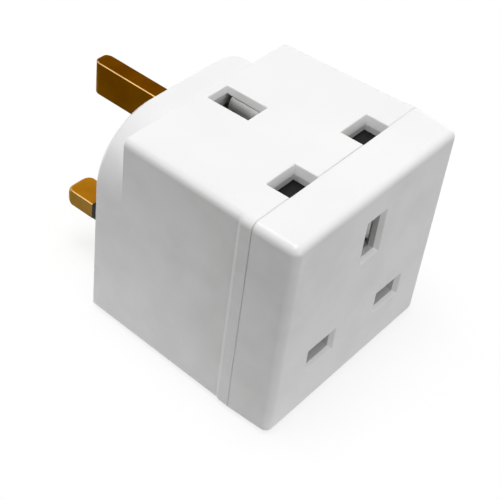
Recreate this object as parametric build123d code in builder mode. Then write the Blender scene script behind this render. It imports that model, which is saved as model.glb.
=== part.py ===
from build123d import *
import math
import os

os.makedirs("parts", exist_ok=True)

# Two-way plug-in socket adapter. Millimetres, +X right seen from the front, +Y into the wall, +Z up.
# The origin is on the plug face, midway between the live and neutral pins.

# Pin and socket pattern of the 13 A system
pole_pitch = 22.2  # live to neutral
earth_offset = 22.2  # pole line to earth
pole_pin_width = 6.35
earth_pin_width = 7.92
pin_thickness = 3.97
pole_pin_length = 17.7
earth_pin_length = 22.3
pin_nose_radius = 1.6
pole_nose_corner = 1.9  # radius of the nose's corners, seen on the wide side
earth_nose_corner = 0.8
pin_edge_chamfer = 0.3
sleeve_length = 9.5  # from the plug face
sleeve_wall = 0.55

# Pin roots inside the plug base
pin_flange_overhang = 1.1
pin_flange_thickness = 1.5
pin_tail_width = 2.6  # square tail through the strip
pin_head_radius = 2.2
pin_head_height = 0.9

# Outside of the housing, set out from the pin pattern
front_margin = 12.6  # front face to the top socket's pole line
rear_margin = 14.3  # top socket's earth slot to the plug face
top_margin = 12.6  # above the earth line
bottom_margin = 14.0  # below the pole line
side_margin = 6.3  # screw axis to the widest part of the side
plug_base_depth = 7.3
plug_base_margin = 10.2  # top of the plug base above the earth line
shoulder_radius = 14.8
collar_depth = 3.3
panel_step = 0.3  # the collar stands this proud of the sides behind it
panel_slope = 0.8  # length of the slope down from the collar
side_draft = 1.9  # degrees
top_draft = 1.2
cover_draft = 2.0
edge_radius = 1.8
back_edge_chamfer = 0.4
base_edge_chamfer = 0.9
seam_chamfer = 0.2

# Walls and ribs
wall = 2.6
back_wall = 2.0
face_wall = 3.3  # behind the pole slots
earth_wall = 2.1  # thinned behind the earth slot
base_wall = 6.0  # holds the pins
partition_thickness = 1.8
partition_length = 26.0
rib_thickness = 1.6
rib_setbacks = (13.0, 22.0)  # from the plug face
lip_length = 2.5
lip_thickness = 1.4
lip_root = 2.0
lip_headroom = 6.0  # below the ceiling, clear of the top shutter

# Slots: a bevelled mouth with a rounded edge runs into a straight throat
pole_throat_width = 7.4
pole_throat_height = 4.4
earth_throat_width = 4.9
earth_throat_height = 9.2
front_flare = 0.75  # mouth past the throat on each side
front_lead_in = 0.9
top_flare = 0.5
top_lead_in = 1.9
mouth_radius = 0.3

# Brass strips and spring contacts
strip_width = 6.0
strip_thickness = 1.0
strip_bend = 1.6
strip_drop = 6.0  # pole strip below the pole line
tab_overhang = 3.2  # pole strip past a pin tail or a rivet
earth_tab_overhang = 3.8
contact_thickness = 0.6
contact_lip_gap = 5.6
contact_grip_gap = 3.5
contact_bow_gap = 4.8
contact_bend = 0.8
contact_clearance = 0.4
pole_grip_depth = 3.0  # below the contact's mouth
earth_grip_depth = 5.4
bow_run = 3.5  # from the grip to the straight part
tip_clearance = 1.4  # inserted pin's tip to the bottom of the contact
earth_contact_width = 7.0
rivet_neck_width = 1.8  # square, so that a contact can't turn
rivet_head_radius = 1.6
rivet_head_height = 0.7

# Shutters
shutter_gap = 0.2
shutter_thickness = 2.0
shutter_overlap = 0.7  # past the throat all round
open_clearance = 0.5
stem_width = 6.8
stem_thickness = 3.4
stem_end = 1.3
ramp_width = 2.6
ramp_height = 5.4
ramp_nose = 2.0
post_width = 3.0
post_thickness = 1.6
post_setback = 1.8  # behind the shutter plate
rail_thickness = 1.2
rail_length = 10.6
keeper_width = 11.2
keeper_length = 6.8
keeper_thickness = 1.0
spring_length = 9.7
spring_diameter = 3.0
spring_wire = 0.4
spring_turns = 5
spring_steps = 10  # bends in each turn

# Assembly screws
screw_radius = 1.4
screw_length = 20.0
screw_head_radius = 2.6
screw_head_height = 1.9
screw_head_chamfer = 0.6
screw_recess_width = 0.7
screw_recess_span = 3.0
screw_recess_depth = 1.0
screw_engagement = 7.5  # length of screw in the cover's boss
pillar_radius = 4.1
pillar_gap = 1.0  # pillar to the pole strip
boss_radius = 3.0
tunnel_radius = 2.9

# Fits
fixed_clearance = 0.03
seat_clearance = 0.1
running_clearance = 0.2
past = 1.0  # cutters and joined pieces run this far past the faces they meet

# Places that follow from the sizes above
pole_x = pole_pitch / 2
top_z = earth_offset + top_margin
bottom_z = -bottom_margin
ceiling_z = top_z - face_wall
floor_z = bottom_z + wall
top_earth_y = -rear_margin
top_pole_y = top_earth_y - earth_offset
front_y = top_pole_y - front_margin
notch_front = -pole_throat_height / 2 - top_flare
parting_y = top_pole_y + notch_front
collar_y = parting_y + collar_depth
cube_back_y = -plug_base_depth
cavity_back_y = cube_back_y - back_wall
base_floor_y = -base_wall
base_top_z = earth_offset + plug_base_margin
screw_x = pole_x + strip_width / 2 + pillar_gap + pillar_radius
screw_z = earth_offset / 2
half_width = screw_x + side_margin
panel_half = half_width - panel_step
hollow_half = panel_half - wall
pole_contact_depth = pole_pin_length + tip_clearance + contact_thickness
earth_contact_depth = earth_pin_length + tip_clearance + contact_thickness
pin_seat_y = base_floor_y - pin_flange_thickness
pole_strip_z = -strip_drop
earth_strip_z = top_z - earth_contact_depth - strip_thickness
pillar_front_y = parting_y + lip_length + running_clearance
screw_tip_y = pillar_front_y - screw_engagement
screw_seat_y = screw_tip_y + screw_length

pole_places = [(-pole_x, 0), (pole_x, 0)]
earth_places = [(0, earth_offset)]
screw_places = [(-screw_x, screw_z), (screw_x, screw_z)]

# Each socket has its own plane: x right, y from the pole line to earth, z out of the face
front_socket = Plane(origin=(0, front_y, 0), x_dir=(1, 0, 0), z_dir=(0, -1, 0))
top_socket = Plane(origin=(0, top_pole_y, top_z), x_dir=(1, 0, 0), z_dir=(0, 0, 1))

# Shutter places in a socket's plane, and depths below its face
shutter_depth = face_wall + shutter_gap
plate_half_height = pole_throat_height / 2 + shutter_overlap
plate_half_width = pole_x + pole_throat_width / 2 + shutter_overlap
shutter_travel = plate_half_height + pin_thickness / 2 + open_clearance
ramp_tip = earth_offset - earth_pin_width / 2 + shutter_travel - open_clearance / 2
post_start = plate_half_height + post_setback
post_end = post_start + post_thickness
window_start = post_start - running_clearance
window_end = post_end + spring_length
stem_length = window_end + stem_end
keeper_depth = shutter_depth + stem_thickness + running_clearance
pole_contact_mouth = shutter_depth + shutter_thickness + contact_clearance
earth_contact_mouth = earth_wall + contact_clearance
earth_recess_width = contact_lip_gap + 2 * (contact_thickness + contact_clearance)
earth_recess_height = earth_throat_height + 2 * running_clearance


def across(y):
    # Upright plane at y that faces the front: x right, y up
    return Plane.XZ.offset(-y)


def shell_top(y):
    return top_z - (y - parting_y) * math.tan(math.radians(top_draft))


def drafted_block(start_y, end_y, half, low, high, side_angle, top_angle):
    # Runs from one depth to another; half and high are its sizes at the parting plane,
    # from which its sides and top lean in
    with BuildPart() as block:
        with BuildSketch(across(start_y)):
            with Locations((0, (low + high) / 2)):
                Rectangle(2 * half, high - low)
        extrude(amount=start_y - end_y)
        neutral = Plane(origin=(0, parting_y, 0), z_dir=(0, math.copysign(1, end_y - start_y), 0))
        draft(block.faces().filter_by(Axis.X), neutral, side_angle)
        if top_angle:
            draft(block.faces().sort_by(Axis.Z)[-1], neutral, top_angle)
    return block.part


def long_edges(block):
    return block.edges().filter_by(lambda edge: edge.bounding_box().size.Y > wall / 2)


def rounded_block(start_y, end_y, half, high, top_angle, high_radius):
    # Outside of the rear moulding, with its long edges rounded
    with BuildPart() as block:
        add(drafted_block(start_y, end_y, half, bottom_z, high, side_draft, top_angle))
        fillet(long_edges(block).sort_by(Axis.Z)[:2], edge_radius)
        fillet(long_edges(block).sort_by(Axis.Z)[-2:], high_radius)
    return block.part


def rectangles(plane, places, width, height):
    with BuildSketch(plane) as section:
        with Locations(*places):
            Rectangle(width, height)
    return section.sketch


def pin_section(plane, place, width, height):
    with BuildSketch(plane) as section:
        with Locations(place):
            Rectangle(width, height)
        chamfer(section.vertices(), pin_edge_chamfer)
    return section.sketch


def discs(plane, places, radius):
    with BuildSketch(plane) as section:
        with Locations(*places):
            Circle(radius)
    return section.sketch


def cut_slots(face, socket, outline, flare, lead_in):
    # Bevelled from the face down to the throat, then straight through the wall
    mouths = outline(face, flare)
    throats = outline(face.offset(-lead_in), 0)
    for low, high in zip(throats.faces(), mouths.faces()):
        loft([low, high], ruled=True, mode=Mode.SUBTRACT)
    extrude(throats, amount=face_wall, dir=-socket.z_dir, mode=Mode.SUBTRACT)


def recess_earth_slot(socket):
    # Pocket on the inside, into which the earth contact's lips reach
    pocket = rectangles(socket.offset(-earth_wall), earth_places, earth_recess_width, earth_recess_height)
    extrude(pocket, amount=earth_wall - face_wall - past, mode=Mode.SUBTRACT)


def add_shutter_guides(socket):
    # Rails beside the shutter's stem and the post that its spring leans on
    root = socket.offset(past - face_wall)
    rail_x = stem_width / 2 + running_clearance + rail_thickness / 2
    rail_y = window_start + rail_length / 2
    rail_height = keeper_depth - face_wall + past
    rails = rectangles(root, [(-rail_x, rail_y), (rail_x, rail_y)], rail_thickness, rail_length)
    extrude(rails, amount=-rail_height)
    post = rectangles(root, [(0, (post_start + post_end) / 2)], post_width, post_thickness)
    extrude(post, amount=-rail_height - keeper_thickness)


def pole_slots(plane, flare):
    width = pole_throat_width + 2 * flare
    return rectangles(plane, pole_places, width, pole_throat_height + 2 * flare)


def earth_slot(plane, flare):
    width = earth_throat_width + 2 * flare
    return rectangles(plane, earth_places, width, earth_throat_height + 2 * flare)


def pole_notches(plane, flare):
    # Pole slots of the top socket, open to the parting plane at the front
    front = notch_front - past
    back = pole_throat_height / 2 + flare
    places = [(x, (front + back) / 2) for x, y in pole_places]
    return rectangles(plane, places, pole_throat_width + 2 * flare, back - front)


# Hollow of the plug base, arched like the base's outside
base_start_y = cavity_back_y - past
base_ceiling_z = base_top_z - wall
with BuildPart() as base_hollow:
    add(drafted_block(base_start_y, base_floor_y, hollow_half, floor_z, base_ceiling_z, side_draft, 0))
    upper_edges = base_hollow.faces().sort_by(Axis.Z)[-1].edges()
    fillet(upper_edges.filter_by(lambda edge: edge.bounding_box().size.Y > wall), shoulder_radius - wall)

# Rear body: collar, square shell and arched plug base in one moulding;
# the collar's slope runs on into the shell, so that the two meet in a clean line
slope_y = collar_y - panel_slope
with BuildPart() as rear_body:
    add(rounded_block(parting_y, collar_y + panel_slope, half_width, top_z, top_draft, edge_radius))
    chamfer(rear_body.faces().sort_by(Axis.Y)[0].edges(), seam_chamfer)
    collar_back = rear_body.faces().sort_by(Axis.Y)[-1]
    chamfer(collar_back.edges(), 2 * panel_step, 2 * panel_slope, reference=collar_back)
    add(rounded_block(slope_y, cube_back_y, panel_half, top_z, top_draft, edge_radius))
    chamfer(rear_body.faces().sort_by(Axis.Y)[-1].edges(), back_edge_chamfer)
    add(rounded_block(cavity_back_y, 0, panel_half, base_top_z, 0, shoulder_radius))
    chamfer(rear_body.faces().sort_by(Axis.Y)[-1].edges(), base_edge_chamfer)

    # Hollow, open to the front and stepped down into the plug base
    add(
        drafted_block(parting_y - past, cavity_back_y, hollow_half, floor_z, ceiling_z, side_draft, 0),
        mode=Mode.SUBTRACT,
    )
    add(base_hollow.part, mode=Mode.SUBTRACT)

    # Wall between live and neutral with the earth strip on it
    with Locations((0, base_floor_y + past, floor_z - past)):
        Box(
            partition_thickness,
            partition_length + past,
            earth_strip_z - floor_z + past,
            align=(Align.CENTER, Align.MAX, Align.MIN),
        )

    # Ribs under the pole strips
    with Locations(*[(0, -setback, floor_z - past) for setback in rib_setbacks]):
        Box(
            2 * hollow_half,
            rib_thickness,
            pole_strip_z - floor_z + past,
            align=(Align.CENTER, Align.CENTER, Align.MIN),
        )

    # Screw pillars, bored for the shank and opened from behind for the head
    pillars = discs(across(pillar_front_y), screw_places, pillar_radius)
    extrude(pillars, amount=pillar_front_y - base_floor_y - past)
    shank_holes = discs(across(pillar_front_y), screw_places, screw_radius + running_clearance)
    extrude(shank_holes, amount=pillar_front_y - screw_seat_y - past, mode=Mode.SUBTRACT)
    tunnels = discs(across(past), screw_places, tunnel_radius)
    extrude(tunnels, amount=past - screw_seat_y, mode=Mode.SUBTRACT)

    # Pin holes
    pole_hole_width = pole_pin_width + 2 * fixed_clearance
    earth_hole_height = earth_pin_width + 2 * fixed_clearance
    hole_thickness = pin_thickness + 2 * fixed_clearance
    for place in pole_places:
        hole = pin_section(across(past), place, pole_hole_width, hole_thickness)
        extrude(hole, amount=base_wall + 2 * past, mode=Mode.SUBTRACT)
    for place in earth_places:
        hole = pin_section(across(past), place, hole_thickness, earth_hole_height)
        extrude(hole, amount=base_wall + 2 * past, mode=Mode.SUBTRACT)

    # Top socket
    add_shutter_guides(top_socket)
    recess_earth_slot(top_socket)
    lean = math.radians(top_draft)
    face_up = (0, math.sin(lean), math.cos(lean))
    top_face = Plane(origin=(0, top_pole_y, shell_top(top_pole_y)), x_dir=(1, 0, 0), z_dir=face_up)
    cut_slots(top_face, top_socket, earth_slot, top_flare, top_lead_in)
    cut_slots(top_face, top_socket, pole_notches, top_flare, top_lead_in)
    outer_faces = rear_body.faces().filter_by_position(Axis.Z, shell_top(cube_back_y), top_z)
    top_edges = outer_faces.sort_by(SortBy.AREA)[-1].edges()
    mouth_edges = top_edges.filter_by_position(Axis.X, -screw_x, screw_x)
    mouth_edges = mouth_edges.filter_by_position(Axis.Y, parting_y + wall / 2, cavity_back_y + wall / 2)
    fillet(mouth_edges, mouth_radius)

# Front cover
with BuildPart() as front_cover:
    add(drafted_block(parting_y, front_y, half_width, bottom_z, top_z, cover_draft, cover_draft))
    front_edges = front_cover.faces().sort_by(Axis.Y)[0].edges()
    fillet(long_edges(front_cover) + front_edges, edge_radius)
    chamfer(front_cover.faces().sort_by(Axis.Y)[-1].edges(), seam_chamfer)
    hollow_y = front_y + face_wall
    add(
        drafted_block(parting_y + past, hollow_y, hollow_half, floor_z, ceiling_z, cover_draft, 0),
        mode=Mode.SUBTRACT,
    )

    # Lip on the sides and bottom that enters the rear body
    lip_half = hollow_half - running_clearance
    lip_low = floor_z + running_clearance
    lip_high = ceiling_z - lip_headroom
    for depth, spread in ((-lip_length, 0), (lip_root, running_clearance + past)):
        with BuildSketch(across(parting_y)) as lip:
            with BuildLine():
                Polyline(
                    (-lip_half - spread, lip_high),
                    (-lip_half - spread, lip_low - spread),
                    (lip_half + spread, lip_low - spread),
                    (lip_half + spread, lip_high),
                    (lip_half - lip_thickness, lip_high),
                    (lip_half - lip_thickness, lip_low + lip_thickness),
                    (-lip_half + lip_thickness, lip_low + lip_thickness),
                    (-lip_half + lip_thickness, lip_high),
                    close=True,
                )
            make_face()
        extrude(lip.sketch, amount=depth)

    # Screw bosses
    bosses = discs(across(pillar_front_y), screw_places, boss_radius)
    extrude(bosses, amount=pillar_front_y - front_y - face_wall + past)
    boss_holes = discs(across(pillar_front_y), screw_places, screw_radius + fixed_clearance)
    extrude(boss_holes, amount=screw_engagement + past, mode=Mode.SUBTRACT)

    # Front socket
    add_shutter_guides(front_socket)
    recess_earth_slot(front_socket)
    cut_slots(front_socket, front_socket, earth_slot, front_flare, front_lead_in)
    cut_slots(front_socket, front_socket, pole_slots, front_flare, front_lead_in)
    for mouth in front_cover.faces().sort_by(Axis.Y)[0].inner_wires():
        fillet(mouth.edges(), mouth_radius)


def make_pin(place, width, height, length, nose_corner, sleeved):
    # Solid pin with a rounded nose, a flange behind the plug face and a tail peened over the strip's tab
    with BuildPart() as pin:
        shank_start = sleeve_length if sleeved else base_floor_y
        extrude(rectangles(across(shank_start), [place], width, height), amount=shank_start - length)
        fillet(pin.faces().sort_by(Axis.Y)[-1].edges().sort_by(SortBy.LENGTH)[-2:], pin_nose_radius)
        narrow_sides = pin.faces().filter_by(Axis.X if width > height else Axis.Z)
        for side in narrow_sides:
            chamfer(side.edges().sort_by(Axis.Y)[1:], pin_edge_chamfer)
        wide_side = Plane(
            origin=(place[0], 0, place[1]),
            x_dir=(0, 1, 0),
            z_dir=(0, 0, 1) if width > height else (1, 0, 0),
        )
        with BuildSketch(wide_side) as outline:
            with Locations(((shank_start + length) / 2, 0)):
                Rectangle(length - shank_start, max(width, height))
            fillet(outline.vertices().sort_by(Axis.X)[-2:], nose_corner)
        extrude(outline.sketch, amount=pin_thickness, both=True, mode=Mode.INTERSECT)
        if sleeved:
            inset = 2 * (sleeve_wall + fixed_clearance)
            neck = rectangles(across(base_floor_y), [place], width - inset, height - inset)
            extrude(neck, amount=base_floor_y - sleeve_length)
        overhang = 2 * pin_flange_overhang
        flange = rectangles(across(base_floor_y), [place], width + overhang, height + overhang)
        extrude(flange, amount=pin_flange_thickness)
        tail = rectangles(across(pin_seat_y), [place], pin_tail_width, pin_tail_width)
        extrude(tail, amount=strip_thickness)
        head = discs(across(pin_seat_y - strip_thickness), [place], pin_head_radius)
        extrude(head, amount=pin_head_height)
    return pin


def make_sleeve(place):
    with BuildPart() as sleeve:
        start = across(base_floor_y)
        bore_width = pole_pin_width - 2 * sleeve_wall
        bore_thickness = pin_thickness - 2 * sleeve_wall
        outer = pin_section(start, place, pole_pin_width, pin_thickness)
        extrude(outer, amount=base_floor_y - sleeve_length)
        bore = rectangles(start, [place], bore_width, bore_thickness)
        extrude(bore, amount=base_floor_y - sleeve_length, mode=Mode.SUBTRACT)
    return sleeve


def make_strip(x, path, pin_place, front_depth, top_depth, top_place):
    # Folded from flat; the path is its underside, in the upright plane through the pin
    with BuildPart() as strip:
        with BuildSketch(Plane.YZ.offset(x - strip_width / 2)):
            with BuildLine():
                FilletPolyline(*path, radius=strip_bend)
                offset(amount=strip_thickness, side=Side.RIGHT)
            make_face()
        extrude(amount=strip_width)
        tail_width = pin_tail_width + 2 * fixed_clearance
        tail_hole = rectangles(across(pin_seat_y), [pin_place], tail_width, tail_width)
        extrude(tail_hole, amount=2 * strip_thickness, mode=Mode.SUBTRACT)
        neck_width = rivet_neck_width + 2 * fixed_clearance
        front_hole = rectangles(front_socket.offset(-front_depth), [pin_place], neck_width, neck_width)
        extrude(front_hole, amount=-2 * strip_thickness, mode=Mode.SUBTRACT)
        top_hole = rectangles(top_socket.offset(-top_depth), [top_place], neck_width, neck_width)
        extrude(top_hole, amount=-2 * strip_thickness, mode=Mode.SUBTRACT)
    return strip


def make_contact(socket, place, profile, width, mouth, grip, depth):
    # Sprung U of sheet metal: flared lips, a pinch that grips the pin, a straight closed end
    lip = contact_lip_gap / 2
    pinch = contact_grip_gap / 2
    bow = contact_bow_gap / 2
    bottom = depth - contact_thickness
    side = [(lip, -mouth), (pinch, -mouth - grip), (bow, -mouth - grip - bow_run), (bow, -bottom)]
    with BuildPart() as contact:
        with BuildSketch(profile):
            with BuildLine():
                FilletPolyline(*side, *[(-x, y) for x, y in reversed(side)], radius=contact_bend)
                offset(amount=contact_thickness, side=Side.LEFT)
            make_face()
        extrude(amount=width)
        neck_width = rivet_neck_width + 2 * fixed_clearance
        hole = rectangles(socket.offset(-depth), [place], neck_width, neck_width)
        extrude(hole, amount=2 * contact_thickness, mode=Mode.SUBTRACT)
    return contact


def make_pole_contact(socket, x):
    corner = socket.from_local_coords((x - strip_width / 2, 0, 0))
    profile = Plane(origin=corner, x_dir=socket.y_dir, z_dir=socket.x_dir)
    return make_contact(
        socket, (x, 0), profile, strip_width, pole_contact_mouth, pole_grip_depth, pole_contact_depth
    )


def make_earth_contact(socket):
    corner = socket.from_local_coords((0, earth_offset + earth_contact_width / 2, 0))
    profile = Plane(origin=corner, x_dir=socket.x_dir, z_dir=-socket.y_dir)
    return make_contact(
        socket,
        (0, earth_offset),
        profile,
        earth_contact_width,
        earth_contact_mouth,
        earth_grip_depth,
        earth_contact_depth,
    )


def make_shutter(socket):
    # Plate over the two pole slots, a stem with a window for the spring, and a ramp under the earth slot
    outer_face = socket.offset(-shutter_depth)
    with BuildPart() as shutter:
        plate = rectangles(outer_face, [(0, 0)], 2 * plate_half_width, 2 * plate_half_height)
        extrude(plate, amount=-shutter_thickness)
        stem = rectangles(outer_face, [(0, stem_length / 2)], stem_width, stem_length)
        extrude(stem, amount=-stem_thickness)
        window_width = post_width + 2 * running_clearance
        window_place = (0, (window_start + window_end) / 2)
        window = rectangles(outer_face, [window_place], window_width, window_end - window_start)
        extrude(window, amount=-stem_thickness, mode=Mode.SUBTRACT)
        corner = outer_face.from_local_coords((-ramp_width / 2, 0, 0))
        with BuildSketch(Plane(origin=corner, x_dir=socket.y_dir, z_dir=socket.x_dir)):
            with BuildLine():
                Polyline(
                    (window_end, 0),
                    (ramp_tip - ramp_height, 0),
                    (ramp_tip, -ramp_height),
                    (ramp_tip - ramp_nose, -ramp_height),
                    (stem_length, -stem_thickness),
                    (window_end, -stem_thickness),
                    close=True,
                )
            make_face()
        extrude(amount=ramp_width)
    return shutter


def make_spring(socket):
    # Six-sided wire bent round in short straight steps
    radius = (spring_diameter - spring_wire) / 2
    start = post_end + spring_wire
    rise = (spring_length - 2 * spring_wire) / (spring_turns * spring_steps)
    middle = shutter_depth + stem_thickness / 2
    path = []
    for step in range(spring_turns * spring_steps + 1):
        angle = 2 * math.pi * step / spring_steps
        local = (radius * math.cos(angle), start + rise * step, radius * math.sin(angle) - middle)
        path.append(socket.from_local_coords(local))
    with BuildPart() as spring:
        with BuildLine() as coil:
            Polyline(*path)
        with BuildSketch(Plane(origin=coil.line @ 0, z_dir=coil.line % 0)):
            RegularPolygon(spring_wire / 2, 6)
        sweep(path=coil.line, transition=Transition.RIGHT)
    return spring


def make_keeper(socket):
    with BuildPart() as keeper:
        seat = socket.offset(-keeper_depth)
        plate = rectangles(seat, [(0, window_start + keeper_length / 2)], keeper_width, keeper_length)
        extrude(plate, amount=-keeper_thickness)
        hole_width = post_width + 2 * seat_clearance
        hole_height = post_thickness + 2 * seat_clearance
        hole = rectangles(seat, [(0, (post_start + post_end) / 2)], hole_width, hole_height)
        extrude(hole, amount=-keeper_thickness, mode=Mode.SUBTRACT)
    return keeper


# Pins and sleeves
neutral_place, live_place = pole_places
earth_place = earth_places[0]
earth_pin = make_pin(
    earth_place, pin_thickness, earth_pin_width, earth_pin_length, earth_nose_corner, False
)
live_pin = make_pin(live_place, pole_pin_width, pin_thickness, pole_pin_length, pole_nose_corner, True)
neutral_pin = make_pin(
    neutral_place, pole_pin_width, pin_thickness, pole_pin_length, pole_nose_corner, True
)
live_pin_sleeve = make_sleeve(live_place)
neutral_pin_sleeve = make_sleeve(neutral_place)

# Pole strips run from the pin along the bottom and up behind the front contact to a shelf for the top one
front_pole_y = front_y + pole_contact_depth
shelf_z = top_z - pole_contact_depth - strip_thickness
pole_path = [
    (pin_seat_y, tab_overhang),
    (pin_seat_y, pole_strip_z),
    (front_pole_y, pole_strip_z),
    (front_pole_y, shelf_z),
    (top_pole_y - tab_overhang, shelf_z),
]
live_strip = make_strip(
    pole_x, pole_path, live_place, pole_contact_depth, pole_contact_depth, live_place
)
neutral_strip = make_strip(
    -pole_x, pole_path, neutral_place, pole_contact_depth, pole_contact_depth, neutral_place
)

# The earth strip drops from the pin, runs under the top contact and rises behind the front one
front_earth_y = front_y + earth_contact_depth
earth_path = [
    (pin_seat_y, earth_offset + earth_tab_overhang),
    (pin_seat_y, earth_strip_z),
    (front_earth_y, earth_strip_z),
    (front_earth_y, earth_offset + earth_tab_overhang),
]
earth_strip = make_strip(
    0, earth_path, earth_place, earth_contact_depth, earth_contact_depth, earth_place
)

# Spring contacts
front_earth_contact = make_earth_contact(front_socket)
front_live_contact = make_pole_contact(front_socket, pole_x)
front_neutral_contact = make_pole_contact(front_socket, -pole_x)
top_earth_contact = make_earth_contact(top_socket)
top_live_contact = make_pole_contact(top_socket, pole_x)
top_neutral_contact = make_pole_contact(top_socket, -pole_x)

# One rivet through each contact, flush with the back of its strip
with BuildPart() as contact_rivets:
    for socket in (front_socket, top_socket):
        for places, depth in ((pole_places, pole_contact_depth), (earth_places, earth_contact_depth)):
            inside = socket.offset(contact_thickness - depth)
            extrude(discs(inside, places, rivet_head_radius), amount=rivet_head_height)
            neck = rectangles(inside, places, rivet_neck_width, rivet_neck_width)
            extrude(neck, amount=-contact_thickness - strip_thickness)

# Shutters with their springs and keepers
front_shutter = make_shutter(front_socket)
top_shutter = make_shutter(top_socket)
front_shutter_spring = make_spring(front_socket)
top_shutter_spring = make_spring(top_socket)
front_shutter_keeper = make_keeper(front_socket)
top_shutter_keeper = make_keeper(top_socket)

# Two screws, put in from behind, hold the cover
with BuildPart() as assembly_screws:
    seat = across(screw_seat_y)
    extrude(discs(seat, screw_places, screw_radius), amount=screw_length)
    extrude(discs(seat, screw_places, screw_head_radius), amount=-screw_head_height)
    chamfer(assembly_screws.faces().sort_by(Axis.Y)[-2:].edges(), screw_head_chamfer)
    head_top = across(screw_seat_y + screw_head_height)
    upright = rectangles(head_top, screw_places, screw_recess_width, screw_recess_span)
    level = rectangles(head_top, screw_places, screw_recess_span, screw_recess_width)
    extrude(upright, amount=screw_recess_depth, mode=Mode.SUBTRACT)
    extrude(level, amount=screw_recess_depth, mode=Mode.SUBTRACT)

pieces = {
    "rear_body": rear_body,
    "front_cover": front_cover,
    "earth_pin": earth_pin,
    "live_pin": live_pin,
    "neutral_pin": neutral_pin,
    "live_pin_sleeve": live_pin_sleeve,
    "neutral_pin_sleeve": neutral_pin_sleeve,
    "earth_strip": earth_strip,
    "live_strip": live_strip,
    "neutral_strip": neutral_strip,
    "front_earth_contact": front_earth_contact,
    "front_live_contact": front_live_contact,
    "front_neutral_contact": front_neutral_contact,
    "top_earth_contact": top_earth_contact,
    "top_live_contact": top_live_contact,
    "top_neutral_contact": top_neutral_contact,
    "contact_rivets": contact_rivets,
    "front_shutter": front_shutter,
    "top_shutter": top_shutter,
    "front_shutter_spring": front_shutter_spring,
    "top_shutter_spring": top_shutter_spring,
    "front_shutter_keeper": front_shutter_keeper,
    "top_shutter_keeper": top_shutter_keeper,
    "assembly_screws": assembly_screws,
}
for name, piece in pieces.items():
    piece.part.label = name
    export_step(piece.part, f"parts/{name}.step")
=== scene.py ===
import bpy
import bmesh
import math
from mathutils import Matrix, Vector


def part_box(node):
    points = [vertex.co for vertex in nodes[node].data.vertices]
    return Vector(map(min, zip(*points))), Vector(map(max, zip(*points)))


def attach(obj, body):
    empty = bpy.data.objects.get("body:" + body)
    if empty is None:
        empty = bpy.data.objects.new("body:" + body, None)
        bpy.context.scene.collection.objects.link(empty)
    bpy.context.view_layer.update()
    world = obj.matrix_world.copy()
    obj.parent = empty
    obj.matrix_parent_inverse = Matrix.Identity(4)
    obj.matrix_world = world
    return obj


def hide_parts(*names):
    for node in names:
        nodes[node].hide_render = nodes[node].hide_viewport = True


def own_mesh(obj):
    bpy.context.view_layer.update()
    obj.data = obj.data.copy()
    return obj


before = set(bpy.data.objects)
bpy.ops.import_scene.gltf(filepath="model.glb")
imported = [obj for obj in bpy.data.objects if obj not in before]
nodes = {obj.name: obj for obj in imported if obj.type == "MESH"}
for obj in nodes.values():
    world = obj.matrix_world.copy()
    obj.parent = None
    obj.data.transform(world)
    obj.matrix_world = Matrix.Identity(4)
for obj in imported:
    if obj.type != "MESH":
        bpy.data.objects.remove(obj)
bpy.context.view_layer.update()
print("frame loaded:", len(nodes), "nodes")

scene = bpy.context.scene
scene.view_settings.view_transform = "Standard"
noiseSpan = (0.2, 0.8)  # where most of a noise texture's values lie


def newMaterial(name):
    material = bpy.data.materials.new(name)
    material.use_nodes = True
    tree = material.node_tree
    shader = tree.nodes["Principled BSDF"]
    return material, tree, shader


def addNoise(tree, scale, detail=2.0, roughness=0.5, stretch=(1, 1, 1)):
    place = tree.nodes.new("ShaderNodeTexCoord")
    mapping = tree.nodes.new("ShaderNodeMapping")
    mapping.inputs["Scale"].default_value = stretch
    noise = tree.nodes.new("ShaderNodeTexNoise")
    noise.inputs["Scale"].default_value = scale
    noise.inputs["Detail"].default_value = detail
    noise.inputs["Roughness"].default_value = roughness
    tree.links.new(place.outputs["Object"], mapping.inputs["Vector"])
    tree.links.new(mapping.outputs["Vector"], noise.inputs["Vector"])
    return noise.outputs["Fac"]


def addFade(tree, source, edge, near, far):
    fade = tree.nodes.new("ShaderNodeMapRange")
    fade.inputs["From Min"].default_value, fade.inputs["From Max"].default_value = edge
    fade.inputs["To Min"].default_value, fade.inputs["To Max"].default_value = near, far
    tree.links.new(source, fade.inputs["Value"])
    return fade.outputs["Result"]


def addColours(tree, shader, source, low, high):
    ramp = tree.nodes.new("ShaderNodeValToRGB")
    ramp.color_ramp.interpolation = "EASE"
    for stop, position, colour in zip(ramp.color_ramp.elements, noiseSpan, (low, high)):
        stop.position = position
        stop.color = (*colour, 1)
    tree.links.new(source, ramp.inputs["Fac"])
    tree.links.new(ramp.outputs["Color"], shader.inputs["Base Color"])


def addGloss(tree, shader, source, low, high):
    tree.links.new(addFade(tree, source, noiseSpan, low, high), shader.inputs["Roughness"])


def addBump(tree, shader, source, height, strength):
    bump = tree.nodes.new("ShaderNodeBump")
    bump.inputs["Distance"].default_value = height
    bump.inputs["Strength"].default_value = strength
    tree.links.new(source, bump.inputs["Height"])
    tree.links.new(bump.outputs["Normal"], shader.inputs["Normal"])


def addMath(tree, kind, *values):
    step = tree.nodes.new("ShaderNodeMath")
    step.operation = kind
    for socket, value in zip(step.inputs, values):
        if isinstance(value, float):
            socket.default_value = value
        else:
            tree.links.new(value, socket)
    return step.outputs["Value"]


def addAxis(tree, coordinate, axis):
    place = tree.nodes.new("ShaderNodeTexCoord")
    split = tree.nodes.new("ShaderNodeSeparateXYZ")
    tree.links.new(place.outputs[coordinate], split.inputs["Vector"])
    return split.outputs[axis]


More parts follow.
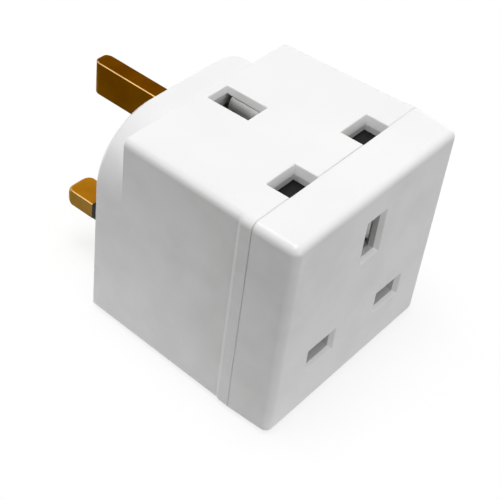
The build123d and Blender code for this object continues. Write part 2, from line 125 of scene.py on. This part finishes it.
def addLayer(tree, shader, share, colour):
    # lays a colour over the one that the shader has, as thickly as share says
    layer = tree.nodes.new("ShaderNodeMix")
    layer.data_type = "RGBA"
    tree.links.new(share, layer.inputs["Factor"])
    tree.links.new(shader.inputs["Base Color"].links[0].from_socket, layer.inputs["A"])
    layer.inputs["B"].default_value = (*colour, 1)
    tree.links.new(layer.outputs["Result"], shader.inputs["Base Color"])


def paint(material, *names):
    for name in names:
        for slot in nodes[name].material_slots:
            slot.material = material


# white moulded shell: bright, half gloss, with the faint orange peel of a polished mould, smudges on the
# upright faces, where it is held, which also paint in a darker reflection of uneven surroundings, and
# painted shade in patches along the parting line
shellLook = {
    "white": (0.87, 0.872, 0.868),
    "shade": (0.830, 0.833, 0.831),
    "cloudScale": 45,
    "gloss": (0.27, 0.33),
    "ior": 1.5,
    "peelScale": 1400,
    "peelHeight": 0.00001,
    "peelStrength": 0.1,
    # smudges, partly a painted reflection of uneven surroundings on the upright faces
    "smudgeAndReflection": (0.785, 0.785, 0.78),
    "smudgeAndReflectionScale": 95,
    "smudgeAndReflectionEdge": (0.4, 0.68),
    "uprightEdge": (0.2, 0.7),  # lean of the faces that get the smudges and painted reflection, and of those that stay clean
    # painted shade along the seam between the two shell halves
    "seamShade": (0.46, 0.46, 0.455),
    "seamShadeReach": (0.00005, 0.00022),  # from the parting line
    "seamShadeEdge": (0.3, 0.7),
    "seamShadeShare": (0.0, 0.4),
}


def makeShell(look, seam):
    material, tree, shader = newMaterial("whiteMoulding")
    cloud = addNoise(tree, look["cloudScale"], detail=5.0)
    addColours(tree, shader, cloud, look["shade"], look["white"])
    peel = addNoise(tree, look["peelScale"])
    addGloss(tree, shader, peel, *look["gloss"])
    addBump(tree, shader, peel, look["peelHeight"], look["peelStrength"])
    shader.inputs["IOR"].default_value = look["ior"]
    # smudges on the upright faces, partly a painted reflection of uneven surroundings
    smudgesAndReflection = addFade(tree, addNoise(tree, look["smudgeAndReflectionScale"], detail=4.0), look["smudgeAndReflectionEdge"], 0.0, 1.0)
    lean = addMath(tree, "ABSOLUTE", addAxis(tree, "Normal", "Z"))
    upright = addFade(tree, lean, look["uprightEdge"], 1.0, 0.0)
    addLayer(tree, shader, addMath(tree, "MULTIPLY", smudgesAndReflection, upright), look["smudgeAndReflection"])
    # distance from the parting line, then how much painted shade lies along it, in patches
    # painted shade in the parting line, where the seam's gap is too fine to shade itself
    near = addMath(tree, "ABSOLUTE", addMath(tree, "SUBTRACT", addAxis(tree, "Object", "Y"), seam))
    reach = addFade(tree, near, look["seamShadeReach"], 1.0, 0.0)
    patches = addFade(tree, cloud, look["seamShadeEdge"], *look["seamShadeShare"])
    addLayer(tree, shader, addMath(tree, "MULTIPLY", reach, patches), look["seamShade"])
    return material


paint(makeShell(shellLook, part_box("rear_body")[0].y), "rear_body", "front_cover")

# metals: drawn or rolled, with lines along the grain and patches of tarnish;
# rim is the tint at glancing angles
metalLook = {"metal": 1.0, "lineHeight": 0.000003, "lineStrength": 0.2, "rim": (1, 1, 1)}
barLook = {
    **metalLook, "patchScale": 160, "lineScale": 2600, "grain": (1, 0.03, 1), "rim": (1, 0.75, 0.45),
}
sheetLook = {**metalLook, "lineScale": 2200, "lineHeight": 0.000004}
# lit and shaded copies of one brass per pin: painted light on the top faces, painted shade on the sides
earthLitTopLook = {
    **barLook, "bright": (0.146, 0.046, 0.0008), "dull": (0.104, 0.031, 0.0005), "gloss": (0.26, 0.36),
    "rim": (1, 0.75, 0.4),
}
earthShadedLook = {
    **barLook, "bright": (0.112, 0.042, 0.0010), "dull": (0.080, 0.026, 0.0006), "gloss": (0.28, 0.38),
    "rim": (1, 0.75, 0.4),
}
# painted light on the pole pins' tops, painted shade on their sides
poleLitTopLook = {
    **barLook, "bright": (0.44, 0.185, 0.009), "dull": (0.36, 0.136, 0.005), "gloss": (0.26, 0.36),
}
poleShadedLook = {
    **barLook, "bright": (0.25, 0.145, 0.034), "dull": (0.19, 0.100, 0.018), "gloss": (0.32, 0.42),
}
wornLook = {  # long edges of the pins, rubbed bright
    **barLook, "bright": (0.53, 0.33, 0.135), "dull": (0.44, 0.265, 0.09), "gloss": (0.2, 0.28),
    "patchScale": 300, "lineHeight": 0.000002, "rim": (1, 0.85, 0.6),
}
contactLook = {
    **sheetLook, "bright": (0.62, 0.62, 0.61), "dull": (0.48, 0.48, 0.47), "gloss": (0.4, 0.55),
    "metal": 0.85, "patchScale": 300, "grain": (1, 0.06, 0.06),
}
stripLook = {
    **sheetLook, "bright": (0.58, 0.36, 0.09), "dull": (0.42, 0.24, 0.05), "gloss": (0.28, 0.42),
    "patchScale": 220, "grain": (1, 0.05, 0.05), "rim": (1, 0.85, 0.6),
}
wireLook = {
    **metalLook, "bright": (0.55, 0.55, 0.56), "dull": (0.36, 0.36, 0.37), "gloss": (0.22, 0.36),
    "patchScale": 700, "lineScale": 3000, "grain": (1, 1, 1),
}
zincLook = {
    **metalLook, "bright": (0.62, 0.63, 0.65), "dull": (0.46, 0.47, 0.50), "gloss": (0.26, 0.4),
    "patchScale": 500, "lineScale": 2400, "grain": (1, 1, 1),
}


def makeMetal(name, look):
    material, tree, shader = newMaterial(name)
    shader.inputs["Metallic"].default_value = look["metal"]
    shader.inputs["Specular Tint"].default_value = (*look["rim"], 1)
    patches = addNoise(tree, look["patchScale"], detail=5.0, roughness=0.6)
    addColours(tree, shader, patches, look["dull"], look["bright"])
    lines = addNoise(tree, look["lineScale"], stretch=look["grain"])
    addGloss(tree, shader, lines, *look["gloss"])
    addBump(tree, shader, lines, look["lineHeight"], look["lineStrength"])
    return material


wornBrass = makeMetal("wornBrass", wornLook)
# copies of each brass that paint light on the top faces and shade on the rest
earthBrass = [makeMetal("earthLitTopBrass", earthLitTopLook), makeMetal("earthShadedBrass", earthShadedLook)]
poleBrass = [makeMetal("poleLitTopBrass", poleLitTopLook), makeMetal("poleShadedBrass", poleShadedLook)]
paint(earthBrass[0], "earth_pin")
paint(poleBrass[0], "live_pin", "neutral_pin")
platedSheet = makeMetal("platedSheet", contactLook)
paint(platedSheet, *[name for name in nodes if name.endswith("_contact")])
paint(makeMetal("rolledBrass", stripLook), "earth_strip", "live_strip", "neutral_strip", "contact_rivets")
steelWire = makeMetal("steelWire", wireLook)
zincSteel = makeMetal("zincSteel", zincLook)
paint(steelWire, "front_shutter_spring", "top_shutter_spring")
paint(zincSteel, "assembly_screws")

# small mouldings: black sleeves and shutters, and the pale keepers inside
mouldingLook = {"grainScale": 900, "grainHeight": 0.00001, "grainStrength": 0.15}
blackLook = {
    **mouldingLook, "deep": (0.005, 0.005, 0.0055), "worn": (0.010, 0.010, 0.0105),
    "gloss": (0.45, 0.6), "shine": 0.2,
}
keeperLook = {
    **mouldingLook, "deep": (0.54, 0.53, 0.49), "worn": (0.62, 0.61, 0.57),
    "gloss": (0.4, 0.55), "shine": 0.4,
}


def makeMoulding(name, look):
    material, tree, shader = newMaterial(name)
    grain = addNoise(tree, look["grainScale"], detail=3.0)
    addColours(tree, shader, grain, look["deep"], look["worn"])
    addGloss(tree, shader, grain, *look["gloss"])
    addBump(tree, shader, grain, look["grainHeight"], look["grainStrength"])
    shader.inputs["Specular IOR Level"].default_value = look["shine"]
    return material


blackMoulding = makeMoulding("blackMoulding", blackLook)
paint(blackMoulding, "live_pin_sleeve", "neutral_pin_sleeve", "front_shutter", "top_shutter")
paint(makeMoulding("paleMoulding", keeperLook), "front_shutter_keeper", "top_shutter_keeper")
print("materials made")


def linkMesh(name, mesh, material):
    mesh.materials.append(material)
    mesh.polygons.foreach_set("use_smooth", [True] * len(mesh.polygons))
    mesh.update()
    piece = bpy.data.objects.new(name, mesh)
    scene.collection.objects.link(piece)
    return piece


def newPiece(name, points, faces, material):
    mesh = bpy.data.meshes.new(name)
    mesh.from_pydata(points, [], faces)
    return linkMesh(name, mesh, material)


def finishedMesh(piece):
    # the mesh with its modifiers applied
    bpy.context.view_layer.update()
    return bpy.data.meshes.new_from_object(piece.evaluated_get(bpy.context.evaluated_depsgraph_get()))


def turnOutward(piece):
    shape = bmesh.new()
    shape.from_mesh(piece.data)
    bmesh.ops.recalc_face_normals(shape, faces=shape.faces)
    shape.to_mesh(piece.data)
    shape.free()


# plug pins: bar with rounded noses, worn along the long edges, painted light on the top faces and painted
# shade on the sides and nose, and roots riveted to the strips
poleForm = {
    "half": (0.003175, 0.001985), "neck": (0.002595, 0.001405), "neckEnd": 0.0095,
    "nose": (0.0022, 0.0018), "noseCorner": 0.0018,
}
earthForm = {"half": (0.001985, 0.00396), "neck": None, "nose": (0.0019, 0.0007), "noseCorner": 0.0004}
pinLook = {
    "edge": 0.00017, "edgeSteps": 4, "noseSteps": 12, "noseGap": 0.0001, "cornerLimit": 0.98,
    "wornNose": 0.35, "litTopNose": 0.75,  # how far into the nose the worn edges and the top's painted light run
    "headRadius": 0.0022, "headHeight": 0.0009,
    "headDome": ((0, 0.68), (0.2, 0.88), (0.45, 0.97), (0.7, 1), (1, 1)),  # parts of height and radius
    "tailHalf": 0.0013, "tailEnd": 0.0019, "flangeStep": 0.0011, "flangeEnd": 0.0034,
    "sharpAngle": 30,
}
litTopTone, shadedTone, wornTone = range(3)  # places in a pin's list of brasses: top copy with painted light, copy with painted shade, worn edges


def pinRing(half, corner, bow, y, look):
    # one ring of the bar: bow 0 gives flat chamfered corners, bow 1 round ones
    steps = look["edgeSteps"]
    corner = min(corner, look["cornerLimit"] * min(half))
    ring = []
    for quarter in range(4):
        signs = ((1, 1), (-1, 1), (-1, -1), (1, -1))[quarter]
        centre = Vector((signs[0] * (half[0] - corner), y, signs[1] * (half[1] - corner)))
        turns = [math.pi / 2 * (quarter + k / steps) for k in range(steps + 1)]
        arc = [centre + corner * Vector((math.cos(turn), 0, math.sin(turn))) for turn in turns]
        ring += [arc[0].lerp(arc[-1], k / steps).lerp(arc[k], bow) for k in range(steps + 1)]
    return ring


def noseInset(radius, left):
    return 0 if left >= radius else radius - math.sqrt(radius ** 2 - (radius - left) ** 2)


def pinStations(low, tip, form, look):
    # rows of place along the pin, half sizes, corner, bow, and how far into the nose the row is
    half, edge, head = form["half"], look["edge"], look["headRadius"]
    rows = []
    for rise, part in look["headDome"]:
        rows.append((low + rise * look["headHeight"], (head * part,) * 2, head, 1, 0))
    bar = [(look["headHeight"], (look["tailHalf"],) * 2), (look["tailEnd"], (look["tailHalf"],) * 2)]
    flange = tuple(side + look["flangeStep"] for side in half)
    bar += [(look["tailEnd"], flange), (look["flangeEnd"], flange)]
    if form["neck"]:
        bar += [(look["flangeEnd"], form["neck"]), (form["neckEnd"] - low, form["neck"])]
        bar += [(form["neckEnd"] - low, half)]
    else:
        bar += [(look["flangeEnd"], half)]
    reach = max(form["nose"])
    bar += [(tip - reach - look["noseGap"] - low, half)]
    rows += [(low + along, size, edge, 0, 0) for along, size in bar]
    for step in range(look["noseSteps"] + 1):
        part = step / look["noseSteps"]
        left = reach * (1 - math.sin(math.pi / 2 * part))
        size = tuple(side - noseInset(radius, left) for side, radius in zip(half, form["nose"]))
        corner = edge + (form["noseCorner"] - edge) * part
        rows.append((tip - left, size, corner, min(1, 2 * part), part))
    return rows


def makePin(name, node, form, look, brass):
    low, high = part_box(node)
    middle = (low + high) / 2
    rows = pinStations(low.y, high.y, form, look)
    steps = look["edgeSteps"]
    count = 4 * (steps + 1)
    points, faces, tones = [], [], []
    place = Vector((middle.x, 0, middle.z))
    for y, half, corner, bow, part in rows:
        points += [place + point for point in pinRing(half, corner, bow, y, look)]
    for i in range(len(rows) - 1):
        part = rows[i + 1][4]
        for k in range(count):
            a, b = i * count + k, i * count + (k + 1) % count
            faces.append((a, b, b + count, a + count))
            flat = k % (steps + 1) == steps
            top = flat and k // (steps + 1) in (0, 2)
            # top flats take the painted light, the other faces the painted shade
            if top and part < look["litTopNose"]:
                tones.append(litTopTone)
            elif not flat and part < look["wornNose"]:
                tones.append(wornTone)
            else:
                tones.append(shadedTone)
    faces += [tuple(range(count)), tuple(range((len(rows) - 1) * count, len(rows) * count))]
    tones += [shadedTone, shadedTone]
    pin = newPiece(name, points, faces, brass[litTopTone])
    for material in (brass[shadedTone], wornBrass):
        pin.data.materials.append(material)
    pin.data.polygons.foreach_set("material_index", tones)
    turnOutward(pin)
    pin.data.set_sharp_from_angle(angle=math.radians(look["sharpAngle"]))
    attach(pin, "housing")
    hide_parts(node)


makePin("earthPin", "earth_pin", earthForm, pinLook, earthBrass)
makePin("livePin", "live_pin", poleForm, pinLook, poleBrass)
makePin("neutralPin", "neutral_pin", poleForm, pinLook, poleBrass)
print("pins made")

# earth contacts: folded sheet whose lips open like a bell, seen through the two earth slots
leafLook = {
    "lip": 0.0028, "pinch": 0.00175, "waist": 0.0024, "grip": 0.0054, "waistRun": 0.0035, "bend": 0.0008,
    "sheet": 0.0006, "flare": 4.0, "lipSteps": 18, "runSteps": 10, "bendSteps": 5, "hole": 0.00095,
    "sharpAngle": 35,
}


def leafProfile(look, depth):
    # half of the fold from its mouth down to the middle of its floor: places across, and below the mouth
    rows = []
    for k in range(look["lipSteps"]):
        part = k / look["lipSteps"]
        across = look["pinch"] + (look["lip"] - look["pinch"]) * (1 - part) ** look["flare"]
        rows.append((across, part * look["grip"]))
    for k in range(look["runSteps"] + 1):
        part = k / look["runSteps"]
        ease = part * part * (3 - 2 * part)
        across = look["pinch"] + (look["waist"] - look["pinch"]) * ease
        rows.append((across, look["grip"] + part * look["waistRun"]))
    floor = depth - look["sheet"]
    for k in range(look["bendSteps"] + 1):
        turn = math.pi / 2 * k / look["bendSteps"]
        across = look["waist"] - look["bend"] * (1 - math.cos(turn))
        rows.append((across, floor - look["bend"] * (1 - math.sin(turn))))
    return rows + [(look["hole"], floor)]


def makeLeaf(name, node, down, along, look):
    low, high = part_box(node)
    middle = (low + high) / 2
    down, along, across = Vector(down), Vector(along), Vector((1, 0, 0))
    depth, width = abs((high - low).dot(down)), abs((high - low).dot(along))
    mouth = middle - down * depth / 2
    half = leafProfile(look, depth)
    profile = half + [(-x, y) for x, y in reversed(half)]
    widths = [-width / 2, -look["hole"], look["hole"], width / 2]
    points = [mouth + across * x + down * y + along * w for x, y in profile for w in widths]
    columns = len(widths)
    faces = []
    for i in range(len(profile) - 1):
        for j in range(columns - 1):
            if i == len(half) - 1 and j == 1:  # square hole for the rivet
                continue
            a = i * columns + j
            faces.append((a, a + 1, a + columns + 1, a + columns))
    leaf = newPiece(name, points, faces, platedSheet)
    inward = leaf.data.polygons[0].normal.dot(across) < 0
    thick = leaf.modifiers.new("sheet", "SOLIDIFY")
    thick.thickness = look["sheet"]
    thick.offset = -1 if inward else 1
    thick.use_even_offset = True
    solid = finishedMesh(leaf)
    leaf.modifiers.clear()
    leaf.data = solid
    turnOutward(leaf)
    solid.set_sharp_from_angle(angle=math.radians(look["sharpAngle"]))
    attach(leaf, "housing")
    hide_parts(node)


makeLeaf("topEarthLeaf", "top_earth_contact", (0, 0, -1), (0, 1, 0), leafLook)
makeLeaf("frontEarthLeaf", "front_earth_contact", (0, 1, 0), (0, 0, 1), leafLook)
print("earth contacts made")

# return springs: round wire, closed at both ends
springLook = {
    "wire": 0.0004, "deadTurns": 1.0, "liveTurns": 6.0, "steps": 30, "sides": 10, "pressed": 0.443,
    "frontPost": (0, 0, 0.0063), "topPost": (0, -0.0302, 0),  # fixed ends
}


def makeSpring(name, node, axis, look):
    low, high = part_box(node)
    middle = (low + high) / 2
    axis = Vector(axis)
    across = Vector((1, 0, 0))
    third = axis.cross(across)
    wire = look["wire"]
    coil = (high.x - low.x) / 2 - wire / 2
    length = (high - low).dot(axis)
    dead, live = look["deadTurns"], look["liveTurns"]
    pitch = (length - wire - 2 * dead * wire) / live
    points, faces = [], []
    count = round((2 * dead + live) * look["steps"])
    for i in range(count + 1):
        turn = i / look["steps"]
        height = min(turn, dead) * wire + max(0, turn - dead - live) * wire
        height += min(max(turn - dead, 0), live) * pitch
        outward = across * math.cos(2 * math.pi * turn) + third * math.sin(2 * math.pi * turn)
        centre = middle + outward * coil + axis * (height + wire / 2 - length / 2)
        for k in range(look["sides"]):
            bend = 2 * math.pi * k / look["sides"]
            points.append(centre + (outward * math.cos(bend) + axis * math.sin(bend)) * wire / 2)
    ring = look["sides"]
    for i in range(count):
        for k in range(ring):
            a, b = i * ring + k, i * ring + (k + 1) % ring
            faces.append((a, a + ring, b + ring, b))
    faces.append(tuple(range(ring)))
    faces.append(tuple(reversed(range(count * ring, (count + 1) * ring))))
    spring = newPiece(name, points, faces, steelWire)
    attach(spring, "housing")
    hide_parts(node)
    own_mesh(spring)


makeSpring(
    "frontCoil", "front_shutter_spring",
    (0, 0, 1), springLook,
)
makeSpring(
    "topCoil", "top_shutter_spring",
    (0, 1, 0), springLook,
)
print("springs made")

# assembly screws: cross-recessed pan heads and coarse threads, seen down the two tunnels in the plug face
screwLook = {
    "headRadius": 0.0026, "headHeight": 0.0019, "rim": 0.0008, "crest": 0.0014, "root": 0.00105,
    "pitch": 0.0011, "ridge": 0.6, "point": 0.0022, "tip": 0.25, "sides": 28, "stepsPerTurn": 10,
    "domeSteps": 6, "domeSpan": 6.5, "domePower": 0.7,
    "recessDepth": 0.0012, "recessWidth": (0.0009, 0.0006), "recessSpan": (0.0031, 0.0014),
    "bladeRise": 0.5, "sharpAngle": 38,
}


def latheScrew(look, length):
    # runs along +Y with its seat at y = 0 and its point at y = -length
    rings = []
    count = round(length / look["pitch"] * look["stepsPerTurn"])
    for i in range(count + 1):
        y = length * (i / count - 1)
        slim = min(1, look["tip"] + (1 - look["tip"]) * (y + length) / look["point"])
        ring = []
        for k in range(look["sides"]):
            phase = (y / look["pitch"] - k / look["sides"]) % 1
            thread = max(0, 1 - abs(phase - 0.5) * 2 / look["ridge"])
            ring.append((y, slim * (look["root"] + (look["crest"] - look["root"]) * thread)))
        rings.append(ring)
    rings.append([(0, look["headRadius"])] * look["sides"])
    rings.append([(look["rim"], look["headRadius"])] * look["sides"])
    rise = look["headHeight"] - look["rim"]
    for step in range(1, look["domeSteps"] + 1):
        lean = math.pi / 2 * step / look["domeSpan"]
        radius = look["headRadius"] * math.cos(lean) ** look["domePower"]
        dome = (look["rim"] + rise * math.sin(lean), radius)
        rings.append([dome] * look["sides"])
    points, faces = [], []
    for ring in rings:
        for k, (y, radius) in enumerate(ring):
            turn = 2 * math.pi * k / look["sides"]
            points.append((radius * math.cos(turn), y, -radius * math.sin(turn)))
    sides = look["sides"]
    for i in range(len(rings) - 1):
        for k in range(sides):
            a, b = i * sides + k, i * sides + (k + 1) % sides
            faces.append((a, b, b + sides, a + sides))
    faces.append(tuple(reversed(range(sides))))
    faces.append(tuple(range((len(rings) - 1) * sides, len(rings) * sides)))
    return points, faces


def recessBlade(look, turned):
    # one tapered blade of the cross, from above the head down into it
    bottom = look["headHeight"] - look["recessDepth"]
    above = look["headHeight"] + look["headHeight"] * look["bladeRise"]
    points = []
    for y, part in ((bottom, 1), (above, 0)):
        width, span = look["recessWidth"][part] / 2, look["recessSpan"][part] / 2
        for x, z in ((-span, -width), (span, -width), (span, width), (-span, width)):
            points.append((z, y, x) if turned else (x, y, z))
    faces = [(0, 1, 2, 3), (7, 6, 5, 4), (0, 4, 5, 1), (1, 5, 6, 2), (2, 6, 7, 3), (3, 7, 4, 0)]
    return points, faces


def makeScrews(look):
    low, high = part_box("assembly_screws")
    seat = high.y - look["headHeight"]
    whole = newPiece("screwBlank", *latheScrew(look, seat - low.y), zincSteel)
    blades = [newPiece("recessBlade", *recessBlade(look, turned), zincSteel) for turned in (False, True)]
    for blade in blades:
        turnOutward(blade)
        cut = whole.modifiers.new("recess", "BOOLEAN")
        cut.operation = "DIFFERENCE"
        cut.solver = "EXACT"
        cut.object = blade
    cutMesh = finishedMesh(whole)
    pair = bmesh.new()
    for x in (low.x + look["headRadius"], high.x - look["headRadius"]):
        placed = cutMesh.copy()
        placed.transform(Matrix.Translation((x, seat, (low.z + high.z) / 2)))
        pair.from_mesh(placed)
        bpy.data.meshes.remove(placed)
    mesh = bpy.data.meshes.new("assemblyScrews")
    pair.to_mesh(mesh)
    pair.free()
    for spare in [whole, *blades]:
        bpy.data.objects.remove(spare)
    screws = linkMesh("assemblyScrews", mesh, zincSteel)
    mesh.set_sharp_from_angle(angle=math.radians(look["sharpAngle"]))
    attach(screws, "housing")
    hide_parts("assembly_screws")


makeScrews(screwLook)
print("screws made")

# pale table under the block: white to the camera and in reflections, with the shadow near the block;
# the light that it throws back is that of a white sheet under the block, on a duller top
floorLook = {
    "size": 4.0, "at": (-0.045, 0.03), "seen": 1.0, "roughness": 0.9,
    "sheet": 0.68, "top": 0.05, "sheetEdge": (0.05, 0.13),
    "lift": 0.78, "farLift": 1.0, "shadowEdge": (0.12, 0.4),
}
lowest = min(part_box(name)[0].z for name in nodes)


def addSeen(tree):
    # 1 for what the camera sees, straight or in a reflection
    path = tree.nodes.new("ShaderNodeLightPath").outputs
    seen = addMath(tree, "MAXIMUM", path["Is Camera Ray"], path["Is Glossy Ray"])
    return addMath(tree, "MAXIMUM", seen, path["Is Transmission Ray"])


def addSwitch(tree, seen, lit, shown):
    switch = tree.nodes.new("ShaderNodeMix")
    switch.inputs["B"].default_value = shown
    tree.links.new(seen, switch.inputs["Factor"])
    tree.links.new(lit, switch.inputs["A"])
    return switch.outputs["Result"]


def makeFloor(look):
    half = look["size"] / 2
    corners = [(-half, -half, 0), (half, -half, 0), (half, half, 0), (-half, half, 0)]
    mesh = bpy.data.meshes.new("studioTable")
    mesh.from_pydata(corners, [], [(0, 1, 2, 3)])
    floor = bpy.data.objects.new("studioTable", mesh)
    floor.location = (*look["at"], lowest)
    scene.collection.objects.link(floor)
    material, tree, shader = newMaterial("tableWhite")
    shader.inputs["Roughness"].default_value = look["roughness"]
    shader.inputs["Specular IOR Level"].default_value = 0.0
    seen = addSeen(tree)
    reach = tree.nodes.new("ShaderNodeVectorMath")
    reach.operation = "LENGTH"
    tree.links.new(tree.nodes.new("ShaderNodeTexCoord").outputs["Object"], reach.inputs[0])
    sheet = addFade(tree, reach.outputs["Value"], look["sheetEdge"], look["sheet"], look["top"])
    lift = addFade(tree, reach.outputs["Value"], look["shadowEdge"], look["lift"], look["farLift"])
    tree.links.new(addSwitch(tree, seen, sheet, look["seen"]), shader.inputs["Base Color"])
    glow = tree.nodes.new("ShaderNodeEmission")
    mix = tree.nodes.new("ShaderNodeMixShader")
    tree.links.new(addMath(tree, "MULTIPLY", seen, lift), mix.inputs["Fac"])
    tree.links.new(shader.outputs["BSDF"], mix.inputs[1])
    tree.links.new(glow.outputs["Emission"], mix.inputs[2])
    tree.links.new(mix.outputs["Shader"], tree.nodes["Material Output"].inputs["Surface"])
    mesh.materials.append(material)


makeFloor(floorLook)

# soft studio light: a surround that brightens overhead, white where it is seen, and five broad panels
lightLook = {
    "seen": 1.0, "horizon": 0.0, "zenith": 0.62, "aim": (0, -0.025, 0.01),
    "panels": {
        "key": {"at": (-0.06, 0.05, 0.95), "size": 0.45, "power": 4.4},
        "back": {"at": (-0.06, 0.75, 0.42), "size": 0.5, "power": 1.0},
        "front": {"at": (-0.10, -0.78, 0.12), "size": 0.4, "power": 2.2},
        "glint": {"at": (-0.575, 0.38, 0.568), "size": 0.28, "power": 0.5},
        "right": {"at": (0.80, -0.02, 0.26), "size": 0.5, "power": 1.3},
    },
}


def addPanel(name, look, target):
    light = bpy.data.lights.new(name, "AREA")
    light.size = look["size"]
    light.energy = look["power"]
    panel = bpy.data.objects.new(name, light)
    panel.location = look["at"]
    aim = Vector(target) - panel.location
    panel.rotation_euler = aim.to_track_quat("-Z", "Y").to_euler()
    scene.collection.objects.link(panel)


def addSurround(look):
    world = bpy.data.worlds.new("studioSurround")
    world.use_nodes = True
    tree = world.node_tree
    background = tree.nodes["Background"]
    background.inputs["Color"].default_value = (1, 1, 1, 1)
    # light by height, from level to straight up
    light = addFade(tree, addAxis(tree, "Generated", "Z"), (0.0, 1.0), look["horizon"], look["zenith"])
    strength = addSwitch(tree, addSeen(tree), light, look["seen"])
    tree.links.new(strength, background.inputs["Strength"])
    scene.world = world


for side, panelLook in lightLook["panels"].items():
    addPanel(side + "Panel", panelLook, lightLook["aim"])
addSurround(lightLook)
print("stage and lights set")

# camera at the photograph's angle
cameraLook = {
    "at": (-0.15895, -0.13090, 0.17579),
    "right": (0.6375, -0.7634, 0.1039),
    "up": (0.4695, 0.4919, 0.7332),
    "focalPixels": 1262.1,
    "imageSize": 500,
    "sensor": 36,
    "clipStart": 0.01,
}


def addCamera(look):
    right = Vector(look["right"]).normalized()
    up = Vector(look["up"])
    up = (up - right * up.dot(right)).normalized()
    back = right.cross(up)
    data = bpy.data.cameras.new("photoCamera")
    data.sensor_width = look["sensor"]
    data.lens = look["focalPixels"] / look["imageSize"] * data.sensor_width
    data.clip_start = look["clipStart"]
    camera = bpy.data.objects.new("photoCamera", data)
    turn = Matrix((right, up, back)).transposed().to_4x4()
    camera.matrix_world = Matrix.Translation(look["at"]) @ turn
    scene.collection.objects.link(camera)
    scene.camera = camera


addCamera(cameraLook)
print("camera set")
